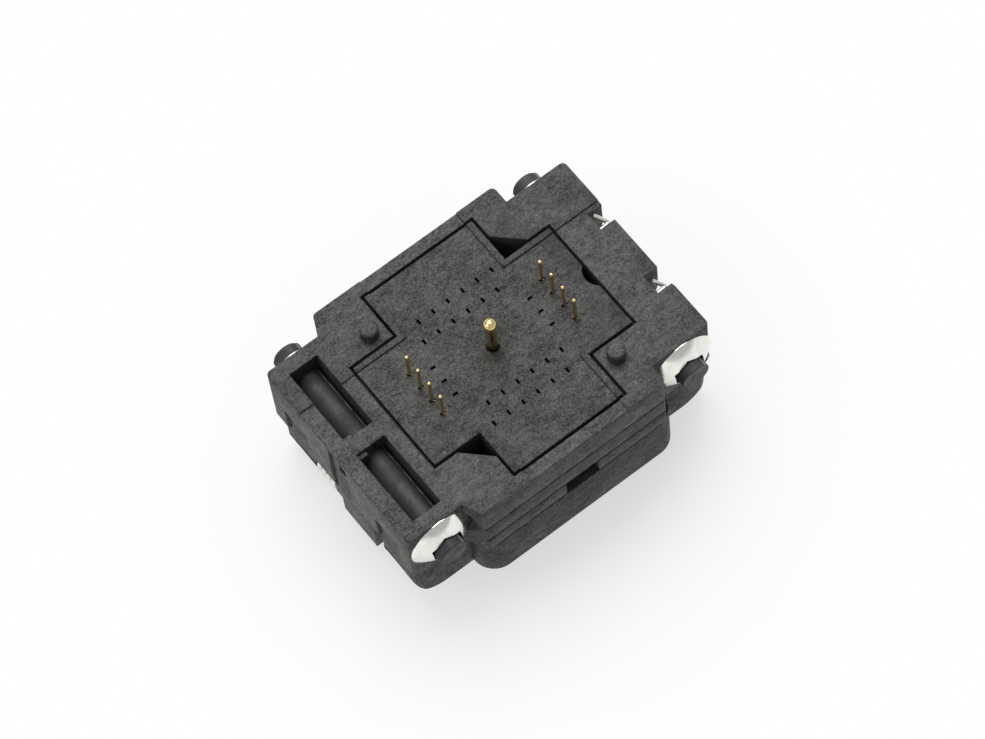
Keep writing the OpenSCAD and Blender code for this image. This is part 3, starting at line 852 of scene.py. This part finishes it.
@dataclass(frozen=True)
class Wire:
    """A round spring wire along a line of points.

    Attributes:
        name: The piece's name.
        radius: The wire's radius, in metres.
        points: Where its centre runs.
        sides: How many facets go round half of it.
    """

    name: str
    radius: float
    points: tuple[Vector, ...]
    sides: int = 3

    def build(self) -> Piece:
        """Draws the wire as a path with thickness and turns it into a mesh.

        Returns:
            The wire.
        """
        deselect()
        bpy.ops.curve.primitive_nurbs_path_add()
        obj = bpy.context.object
        obj.name = self.name
        curve = obj.data
        curve.splines.clear()
        spline = curve.splines.new("NURBS")
        spline.points.add(len(self.points) - 1)
        for point, place in zip(spline.points, self.points):
            point.co = (*place, 1.0)
        spline.order_u = 3
        spline.resolution_u = 3
        spline.use_endpoint_u = True
        curve.bevel_depth = self.radius
        curve.bevel_resolution = self.sides
        curve.use_fill_caps = True
        pick(obj)
        bpy.ops.object.convert(target="MESH")
        smooth(WIRE_FOLD)
        return bpy.context.object


def helix(node: str, wire: float, turns: int, steps: int = 16) -> tuple[Vector, ...]:
    """Works out the turns of an upright compression spring, from a node's box.

    Args:
        node: The CAD node that the spring stands for.
        wire: The wire's radius.
        turns: Turns of the coil.
        steps: Points in each turn.

    Returns:
        The points.
    """
    low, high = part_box(node)
    centre = (low + high) / 2
    radius = (high.x - low.x) / 2 - wire
    rise = high.z - low.z - 2 * wire
    count = turns * steps
    return tuple(Vector((centre.x + radius * math.cos(math.tau * i / steps),
                         centre.y + radius * math.sin(math.tau * i / steps),
                         low.z + wire + rise * i / count)) for i in range(count + 1))


def turned(name: str, profile: list[tuple[float, float]], sides: int) -> Piece:
    """Turns a closed piece about the Z axis.

    Args:
        name: The piece's name.
        profile: Radii and heights from the first end to the last, in metres.
        sides: How many faces go round.

    Returns:
        The piece, upright at the origin.
    """
    deselect()
    radius, height = profile[0]
    bpy.ops.mesh.primitive_circle_add(vertices=sides, radius=radius, fill_type="NGON",
                                      location=(0, 0, height))
    obj = bpy.context.object
    obj.name = name
    bpy.ops.object.transform_apply(location=True)
    bpy.ops.object.mode_set(mode="EDIT")
    for new_radius, new_height in profile[1:]:
        scale = new_radius / radius
        bpy.ops.mesh.extrude_region_move(TRANSFORM_OT_translate={"value": (0, 0, new_height - height)})
        bpy.ops.transform.resize(value=(scale, scale, 1), center_override=(0, 0, new_height))
        radius, height = new_radius, new_height
    bpy.ops.mesh.select_all(action="SELECT")
    bpy.ops.mesh.normals_make_consistent(inside=False)
    end_edit()
    return obj


def paint_edge(obj: Piece, value_of: Callable[[bpy.types.MeshPolygon], float]) -> None:
    """Writes how pale each face is painted, for the paler edges and the rods' painted glints.

    Args:
        obj: The object.
        value_of: Gives the value of a face, from 0 to 1.
    """
    strips = obj.data.attributes.new(EDGE, "FLOAT", "CORNER")
    for face in obj.data.polygons:
        value = value_of(face)
        for corner in face.loop_indices:
            strips.data[corner].value = value


def lay(piece: Piece, place: Vector) -> None:
    """Lays a turned piece along -Y from a place and smooths its round faces.

    Args:
        piece: The upright piece.
        place: Where its first end goes.
    """
    piece.rotation_euler = (math.radians(90), 0, 0)
    piece.location = place
    pick(piece)
    bpy.ops.object.transform_apply(location=True, rotation=True)
    smooth(ROUND_FOLD)


# ---- sub-assemblies


@dataclass
class SubAssembly:
    """A group of pieces that are made and dressed together.

    Attributes:
        finishes: The shared finishes.
    """

    finishes: Finishes

    def adopt(self, piece: Piece, node: str, rides: bool = True) -> Piece:
        """Lets a new piece stand for a CAD node, on its body and in its finish.

        Args:
            piece: The new piece.
            node: The CAD node that it stands for.
            rides: Whether it rides on the node's body; a blended piece doesn't.

        Returns:
            The piece.
        """
        slot = material_slot(node)
        piece.data.materials.clear()
        piece.data.materials.append(self.finishes.get(slot))
        if rides:
            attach(piece, body_of(node))
        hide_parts(node)
        LOG.info("%s stands for %s: %d faces", piece.name, node, len(piece.data.polygons))
        return piece

    def rounded(self, node: str, rounding: Rounding) -> Piece:
        """Replaces a CAD node by a copy with rounded edges.

        Args:
            node: The CAD node.
            rounding: How its edges are rounded.

        Returns:
            The piece.
        """
        piece = cad_copy(node, f"{node}_moulding")
        rounding.apply(piece)
        return self.adopt(piece, node)

    def compressed(self, node: str, wire: float, turns: int, joint: str, fixed: int) -> None:
        """Winds a compression spring.

        Args:
            node: The CAD node that it stands for.
            wire: The wire's radius.
            turns: Turns of the coil.
            joint: Not used.
            fixed: Not used.
        """
        spring = self.adopt(Wire(f"{node}_wire", wire, helix(node, wire, turns), sides=2).build(), node)
        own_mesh(spring)

    def dress(self, node: str) -> None:
        """Gives a CAD node its finish and keeps its shape.

        Args:
            node: The CAD node.
        """
        mesh = frame["nodes"][node].data
        mesh.materials.clear()
        mesh.materials.append(self.finishes.get(material_slot(node)))
        LOG.info("%s keeps its shape", node)


@dataclass
class Base(SubAssembly):
    """The moulded base with its insulator and package guide.

    Attributes:
        edge: The housing's rounding.
        fine_edge: The rounding of the insulator and the guide.
    """

    edge: Rounding = Rounding()
    fine_edge: Rounding = Rounding(width=0.045 * MM, run=2.4 * MM)

    def build(self) -> None:
        """Makes the three mouldings."""
        self.rounded("base_housing", self.edge)
        self.rounded("contact_insulator", self.fine_edge)
        self.rounded("package_guide", self.fine_edge)


@dataclass
class ContactField(SubAssembly):
    """The sprung contacts and the ground probe.

    Attributes:
        contacts: How many contacts there are.
        shaft: The barrel's radius above the insulator.
        ball: The radius of its round head.
        bore: The radius of its bore.
        bore_tip: The flat at the bore's end, as a share of that radius.
        bore_depth: How deep the bore goes.
        lip: The radius that its mouth is rolled in to.
        lip_depth: How long the rolled mouth is.
        collar_height: How high its collar is.
        arc_steps: Points on the head's curve.
        arc_end: Where the curve ends, in degrees; the last bit of the head is flat.
        round_sides: How many faces go round the barrel.
        wire: The radius of the probe spring's wire.
        turns: Turns of the probe spring.
    """

    contacts: int = 8
    shaft: float = 0.42 * MM
    ball: float = 0.5 * MM
    bore: float = 0.3 * MM
    bore_tip: float = 0.05
    bore_depth: float = 3.7 * MM
    lip: float = 0.23 * MM
    lip_depth: float = 0.15 * MM
    collar_height: float = 0.2 * MM
    arc_steps: int = 14
    arc_end: float = 87.0
    round_sides: int = 48
    wire: float = 0.045 * MM
    turns: int = 8

    def barrel(self) -> Piece:
        """Turns the probe's barrel with its bore, collar and round head.

        Returns:
            The barrel.
        """
        low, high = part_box("probe_barrel")
        collar = (high.x - low.x) / 2
        centre = high.z - self.ball
        bottom = low.z + self.bore_depth
        mouth = low.z + self.lip_depth
        neck = low.z + self.collar_height
        profile = [(self.bore * self.bore_tip, bottom), (self.bore, bottom), (self.bore, mouth),
                   (self.lip, mouth), (self.lip, low.z), (collar, low.z), (collar, neck), (self.shaft, neck)]
        first = -math.acos(self.shaft / self.ball)
        for step in range(self.arc_steps + 1):
            angle = first + (math.radians(self.arc_end) - first) * step / self.arc_steps
            profile.append((self.ball * math.cos(angle), centre + self.ball * math.sin(angle)))
        barrel = turned("probe_barrel_turned", profile, self.round_sides)
        pick(barrel)
        smooth(ROUND_FOLD)
        return self.adopt(barrel, "probe_barrel")

    def build(self) -> None:
        """Dresses the contacts and makes the probe."""
        for number in range(1, self.contacts + 1):
            self.dress(f"contact_{number}")
        self.barrel()
        self.dress("probe_plunger")
        self.compressed("probe_spring", self.wire, self.turns, "probe_slide", fixed=1)


@dataclass
class Rods(SubAssembly):
    """The catch rod and the hinge rod with what holds them endways.

    Attributes:
        sheet_edge: How the rings' edges are rounded.
        rim: How high a nut's rim stands.
        mouth: A nut's height at its hole.
        hole: Half the nut's hole across its flats.
        hole_turn: How the hole is turned on the rod, in degrees.
        punch: How long the hole's punch is, in heights of the mouth.
        ring_share: How thick a ring's sheet is, as a share of the room in its groove.
        glint_and_rub: The stretch of the rod's side that is painted pale as a glint line, as angles from the
            top, in degrees.
        sawn_and_sheen: How pale the rod's cut ends are painted, part uncoated metal and part painted
            reflection.
        groove: How deep the ring groove is.
        play: How much wider than the ring the groove is on each side.
        chamfer: The chamfer of the rod's lead-in end.
        burr: The broken edge of its other end.
        round_sides: How many faces go round a rod or a nut.
        dome_steps: Rings of faces from a nut's rim to its middle.
    """

    sheet_edge: Rounding = Rounding(width=0.05 * MM, run=1.2 * MM, angle=40.0, segments=3)
    rim: float = 0.045 * MM
    mouth: float = 0.88 * MM
    hole: float = 1.225 * MM
    hole_turn: float = -6.0
    punch: float = 8.0
    ring_share: float = 0.75
    glint_and_rub: tuple[float, float] = (45.0, 51.0)
    sawn_and_sheen: float = 0.20
    groove: float = 0.15 * MM
    play: float = 0.025 * MM
    chamfer: float = 0.2 * MM
    burr: float = 0.04 * MM
    round_sides: int = 96
    dome_steps: int = 25

    def nut(self, end: str) -> Piece:
        """Turns a domed push nut and cuts its six-sided hole.

        Args:
            end: Which rod it is on.

        Returns:
            The nut.
        """
        node = f"{end}_push_nut"
        low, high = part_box(node)
        radius = (high.x - low.x) / 2
        place = (low + high) / 2
        place.y = high.y
        rise = (self.mouth - self.rim) / (1 - (self.hole / radius) ** 2)
        profile = [(radius, 0.0), (radius, self.rim)]
        for step in range(1, self.dome_steps):
            share = 1 - step / self.dome_steps
            profile.append((radius * share, self.rim + rise * (1 - share ** 2)))
        nut = turned(f"{node}_dome", profile, self.round_sides)
        lay(nut, place)
        deselect()
        corner = self.hole / math.cos(math.pi / HEX)
        turn = (math.radians(90), math.radians(self.hole_turn), 0)
        bpy.ops.mesh.primitive_cylinder_add(vertices=HEX, radius=corner, depth=self.punch * self.mouth,
                                            location=place, rotation=turn)
        cutter = bpy.context.object
        pick(nut)
        cut = nut.modifiers.new("hole", "BOOLEAN")
        cut.object = cutter
        cut.solver = "EXACT"
        bpy.ops.object.modifier_apply(modifier=cut.name)
        bpy.data.objects.remove(cutter)
        smooth(CUT_FOLD)
        return self.adopt(nut, node)

    def glint_and_end_sheen(self, face: bpy.types.MeshPolygon) -> float:
        """Says how pale a face of a rod is painted: its cut ends, part uncoated metal and part painted
        reflection, and a painted glint line along its side.

        Args:
            face: The face.

        Returns:
            The value for the paler edges and painted glints.
        """
        # A painted glint line along the side, and ends painted pale as uncoated metal and as reflection.
        angle = math.degrees(math.atan2(face.normal.x, face.normal.z))
        along = abs(face.normal.y)
        if along < ON_SIDE and self.glint_and_rub[0] < angle < self.glint_and_rub[1]:
            return 1.0
        return self.sawn_and_sheen if along > ON_END else 0.0

    def rod(self, end: str) -> None:
        """Turns a rod with its ring groove, and paints its glint line and its paler ends.

        Args:
            end: Which rod it is.
        """
        node = f"{end}_rod"
        low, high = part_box(node)
        ring_low, ring_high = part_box(f"{end}_retaining_ring")
        radius = (high.x - low.x) / 2
        length = high.y - low.y
        neck = radius - self.groove
        first = high.y - ring_high.y - self.play
        last = high.y - ring_low.y + self.play
        profile = [(radius - self.chamfer, 0.0), (radius, self.chamfer), (radius, first), (neck, first),
                   (neck, last), (radius, last), (radius, length - self.burr), (radius - self.burr, length)]
        rod = turned(f"{node}_bar", profile, self.round_sides)
        lay(rod, Vector(((low.x + high.x) / 2, high.y, (low.z + high.z) / 2)))
        # Paints the glint line and the paler ends.
        paint_edge(rod, self.glint_and_end_sheen)
        self.adopt(rod, node)

    def ring(self, end: str) -> None:
        """Makes a ring as thin as its sheet, against the base's side of its groove.

        Args:
            end: Which rod it is on.
        """
        node = f"{end}_retaining_ring"
        piece = self.rounded(node, self.sheet_edge)
        start_edit(piece)
        bpy.ops.transform.resize(value=(1, self.ring_share, 1), center_override=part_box(node)[0])
        end_edit()

    def build(self) -> None:
        """Makes the rods, nuts and rings."""
        for end in ("catch", "hinge"):
            self.rod(end)
            self.nut(end)
            self.ring(end)


@dataclass
class HingeSprings(SubAssembly):
    """The two torsion springs on the hinge rod, each with one leg hooked back in its notch.

    Attributes:
        wire: The wire's radius.
        pitch: How far one turn moves along the rod.
        turns: Turns of the coil, with the quarter that leads in.
        steps: Points in each turn.
        hook_z: How deep the hook lies under the board face.
        straight: Where the leg turns straight, as a share of the way from the coil to the hook.
        bend: The points of the hook's bend from its outermost place, in millimetres.
        tip: How far the leg's end lies back from the hook, and how deep under the board face.
        reaches: How far along Y each spring's leg reaches.
    """

    wire: float = 0.17 * MM
    pitch: float = 0.41 * MM
    turns: float = 2.25
    steps: int = 20
    hook_z: float = -0.82 * MM
    straight: float = 0.55
    bend: tuple = ((-0.16, 0.0, 0.0), (-0.02, 0.02, 0.0), (0.0, 0.12, 0.02), (-0.08, 0.24, 0.09))
    tip: tuple[float, float] = (0.59 * MM, -0.3 * MM)
    reaches: tuple = (("hinge_spring_a", 0.97 * MM), ("hinge_spring_b", 0.74 * MM))

    def path(self, node: str, reach: float) -> tuple[Vector, ...]:
        """Works out where the wire runs.

        Args:
            node: The CAD node that the spring stands for.
            reach: How far along Y the leg's end lies from the last turn.

        Returns:
            The points.
        """
        axis = centre_of("hinge_rod")
        low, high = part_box(node)
        radius = axis.x - low.x - self.wire
        last_y = low.y + self.wire
        start = last_y + self.pitch * self.turns
        leg_x = axis.x - radius
        points = [Vector((leg_x, start, low.z)), Vector((leg_x, start, (low.z + axis.z) / 2)),
                  Vector((leg_x, start, axis.z - radius / 2))]
        for i in range(int(self.turns * self.steps) + 1):
            angle = math.radians(-90) + math.tau * i / self.steps
            points.append(Vector((axis.x + radius * math.sin(angle), start - self.pitch * i / self.steps,
                                  axis.z + radius * math.cos(angle))))
        hook = Vector((high.x - self.wire, last_y, self.hook_z))
        points.append(points[-1].lerp(hook, self.straight))
        points += [hook + Vector(step) * MM for step in self.bend]
        points.append(Vector((hook.x - self.tip[0], last_y + reach, self.tip[1])))
        return tuple(points)

    def build(self) -> None:
        """Winds both springs."""
        for node, reach in self.reaches:
            self.adopt(Wire(f"{node}_wire", self.wire, self.path(node, reach)).build(), node)


@dataclass
class Cover(SubAssembly):
    """The lid with its sprung pressure pad.

    Attributes:
        edge: The lid's rounding.
        fine_edge: The rounding of the pad and its retainer.
        wire: The radius of the pad springs' wire.
        turns: Turns of a pad spring.
        corners: How many screws and springs the pad has.
    """

    edge: Rounding = Rounding(width=0.08 * MM)
    fine_edge: Rounding = Rounding(width=0.05 * MM)
    wire: float = 0.13 * MM
    turns: int = 4
    corners: int = 4

    def build(self) -> None:
        """Makes the lid, pad, retainer and pad springs, and dresses the screws."""
        self.rounded("cover_frame", self.edge)
        self.rounded("pressure_pad", self.fine_edge)
        self.rounded("pad_retainer", self.fine_edge)
        for number in range(1, self.corners + 1):
            self.dress(f"retainer_screw_{number}")
            self.compressed(f"pad_spring_{number}", self.wire, self.turns, "pad_slide", fixed=0)


@dataclass
class Latch(SubAssembly):
    """The latch lever on its pin with its torsion spring.

    Attributes:
        edge: The lever's rounding.
        wire: The spring wire's radius.
        pitch: How far one turn moves along the pin.
        steps: Points in each turn.
        sweep: Where the coil starts and ends, as angles about the pin, in degrees.
        coil_y: Where the coil starts along the pin.
        foot: Where the wire's foot on the lever lies from the pin and the coil's start.
        bend: The points from the foot to the coil, in millimetres from the foot.
        run: How straight the upper leg runs before its last stretch.
        held_y: Not used.
        turned_y: Not used.
    """

    edge: Rounding = Rounding(width=0.06 * MM)
    wire: float = 0.22 * MM
    pitch: float = 0.54 * MM
    steps: int = 16
    sweep: tuple[float, float] = (192.0, 1440.0)
    coil_y: float = 1.95 * MM
    foot: tuple[float, float] = (-0.2 * MM, -1.15 * MM)
    bend: tuple = ((0.0, 0.5, 0.0), (0.0, 0.85, 0.02), (-0.05, 1.05, 0.2))
    run: float = 1.4 * MM
    held_y: float = 3.6 * MM
    turned_y: float = 2.1 * MM

    def path(self) -> tuple[Vector, ...]:
        """Works out where the spring's wire runs.

        Returns:
            The points.
        """
        axis = centre_of("latch_pin")
        low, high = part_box("latch_spring")
        radius = axis.x - low.x - self.wire
        foot = Vector((axis.x + self.foot[0], self.coil_y + self.foot[1], low.z + self.wire))
        points = [foot] + [foot + Vector(step) * MM for step in self.bend]
        first, last = (math.radians(angle) for angle in self.sweep)
        count = int((last - first) / math.tau * self.steps)
        for i in range(count + 1):
            swept = (last - first) * i / count
            points.append(Vector((axis.x + radius * math.sin(first + swept),
                                  self.coil_y + self.pitch * swept / math.tau,
                                  axis.z + radius * math.cos(first + swept))))
        top = points[-1]
        points += [Vector((top.x + self.run, top.y, top.z)), Vector((high.x, top.y, top.z))]
        return tuple(points)

    def build(self) -> None:
        """Makes the lever and spring and dresses the pin."""
        self.rounded("latch_lever", self.edge)
        self.dress("latch_pin")
        spring = Wire("latch_spring_wire", self.wire, self.path()).build()
        self.adopt(spring, "latch_spring", rides=False)
        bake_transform(spring)


# ---- stage


@dataclass(frozen=True)
class Lamp:
    """A square soft lamp that looks at the object.

    Attributes:
        name: Its name.
        place: Where it hangs.
        size: The length of its side.
        power: Its power in watts.
    """

    name: str
    place: tuple[float, float, float]
    size: float
    power: float

    def hang(self) -> None:
        """Adds the lamp to the scene."""
        deselect()
        bpy.ops.object.light_add(type="AREA", location=self.place)
        obj = bpy.context.object
        obj.name = self.name
        obj.data.size = self.size
        obj.data.energy = self.power
        obj.rotation_euler = (-Vector(self.place)).to_track_quat("-Z", "Y").to_euler()


@dataclass
class Studio:
    """The pale floor, the lamps and the camera.

    Attributes:
        camera_place: Where the camera stands.
        camera_turn: How it is turned, in degrees.
        lens: Its focal length in millimetres.
        sensor: The width of its sensor in millimetres.
        clip: How near it starts to see.
        floor_half: Half the floor's side.
        floor_gap: How far the floor lies under the lid.
        paper_near: Where the floor starts to turn pure white, from the middle.
        paper_far: Where it is pure white.
        paper_white: How white the floor is of its own under the object.
        papers: The floor's two colours.
        paper_scale: The scale of its clouds.
        paper_share: How much of its second colour there is at most.
        paper_roughness: Its roughness.
        paper_specular: How strongly it reflects.
        surround: The strength of the world's light on the object.
        mirrored: How much of the white surround shows in reflections.
        lamps: The lamps.
    """

    camera_place: tuple[float, float, float] = (-0.069057, -0.119408, 0.285846)
    camera_turn: tuple[float, float, float] = (25.221, 3.582, -37.491)
    lens: float = 168.62
    sensor: float = 36.0
    clip: float = 0.01
    floor_half: float = 0.6
    floor_gap: float = 0.05 * MM
    paper_near: float = 12.0 * MM
    paper_far: float = 30.0 * MM
    paper_white: float = 0.64
    papers: tuple[Colour, Colour] = ((0.98, 0.98, 0.98), (0.96, 0.96, 0.965))
    paper_scale: float = 30.0
    paper_share: float = 0.5
    paper_roughness: float = 0.9
    paper_specular: float = 0.1
    surround: float = 0.12
    mirrored: float = 0.42
    lamps: tuple[Lamp, ...] = (Lamp("key", (0.07, 0.15, 0.33), 0.30, 1.36),
                               Lamp("fill", (-0.26, 0.05, 0.20), 0.25, 0.18))

    def floor(self) -> None:
        """Lays a floor that reads white and keeps the object's soft shadow."""
        deselect()
        bpy.ops.mesh.primitive_plane_add(size=2 * self.floor_half,
                                         location=(0, 0, CAD_BOX[0].z - self.floor_gap))
        obj = bpy.context.object
        obj.name = "floor"
        material, graph, shader, vector = new_material("floor_paper")
        clouds = Clouds().place(graph, vector, {"Scale": self.paper_scale})
        tone = graph.mix(graph.times(clouds.outputs["Value"], self.paper_share), *self.papers)
        graph.link(tone, shader.inputs["Base Color"])
        shader.inputs["Roughness"].default_value = self.paper_roughness
        shader.inputs["Specular IOR Level"].default_value = self.paper_specular
        rays = graph.add("ShaderNodeLightPath")
        seen = graph.math("MAXIMUM", rays.outputs["Is Camera Ray"], rays.outputs["Is Glossy Ray"])
        seen = graph.math("MAXIMUM", seen, rays.outputs["Is Transmission Ray"])
        glow = graph.add("ShaderNodeEmission", {"Color": (1, 1, 1, 1), "Strength": 1.0})
        blend = graph.add("ShaderNodeMixShader")
        away = graph.add("ShaderNodeVectorMath", operation="LENGTH")
        graph.link(vector, away.inputs[0])
        share = graph.remap(away.outputs["Value"], self.paper_near, self.paper_far, self.paper_white, 1.0)
        graph.link(graph.times(seen, share), blend.inputs[0])
        graph.link(shader.outputs[0], blend.inputs[1])
        graph.link(glow.outputs[0], blend.inputs[2])
        graph.link(blend.outputs[0], material.node_tree.nodes["Material Output"].inputs["Surface"])
        obj.data.materials.append(material)

    def world(self) -> None:
        """Fills the surroundings with a soft pale light."""
        world = bpy.data.worlds.new("studio")
        bpy.context.scene.world = world
        world.use_nodes = True
        graph = Graph(world.node_tree)
        background = world.node_tree.nodes["Background"]
        rays = graph.add("ShaderNodeLightPath")
        seen = graph.math("MAXIMUM", rays.outputs["Is Camera Ray"], rays.outputs["Is Transmission Ray"])
        mirrored = graph.times(rays.outputs["Is Glossy Ray"], self.mirrored)
        strength = graph.remap(graph.math("MAXIMUM", seen, mirrored), 0.0, 1.0, self.surround, 1.0)
        background.inputs["Color"].default_value = (1.0, 1.0, 1.0, 1.0)
        graph.link(strength, background.inputs["Strength"])

    def camera(self) -> None:
        """Sets up the camera."""
        data = bpy.data.cameras.new("camera")
        data.lens = self.lens
        data.sensor_width = self.sensor
        data.clip_start = self.clip
        camera = bpy.data.objects.new("camera", data)
        camera.location = self.camera_place
        camera.rotation_euler = Euler([math.radians(a) for a in self.camera_turn])
        bpy.context.scene.collection.objects.link(camera)
        bpy.context.scene.camera = camera

    def build(self) -> None:
        """Sets the whole stage."""
        bpy.context.scene.view_settings.view_transform = "Standard"
        self.floor()
        self.world()
        for lamp in self.lamps:
            lamp.hang()
        self.camera()


def main() -> None:
    """Builds every sub-assembly in order, then the stage."""
    finishes = Finishes()
    for part in (Base, ContactField, Rods, HingeSprings, Cover, Latch):
        part(finishes).build()
    Studio().build()


if __name__ == "__main__":
    main()
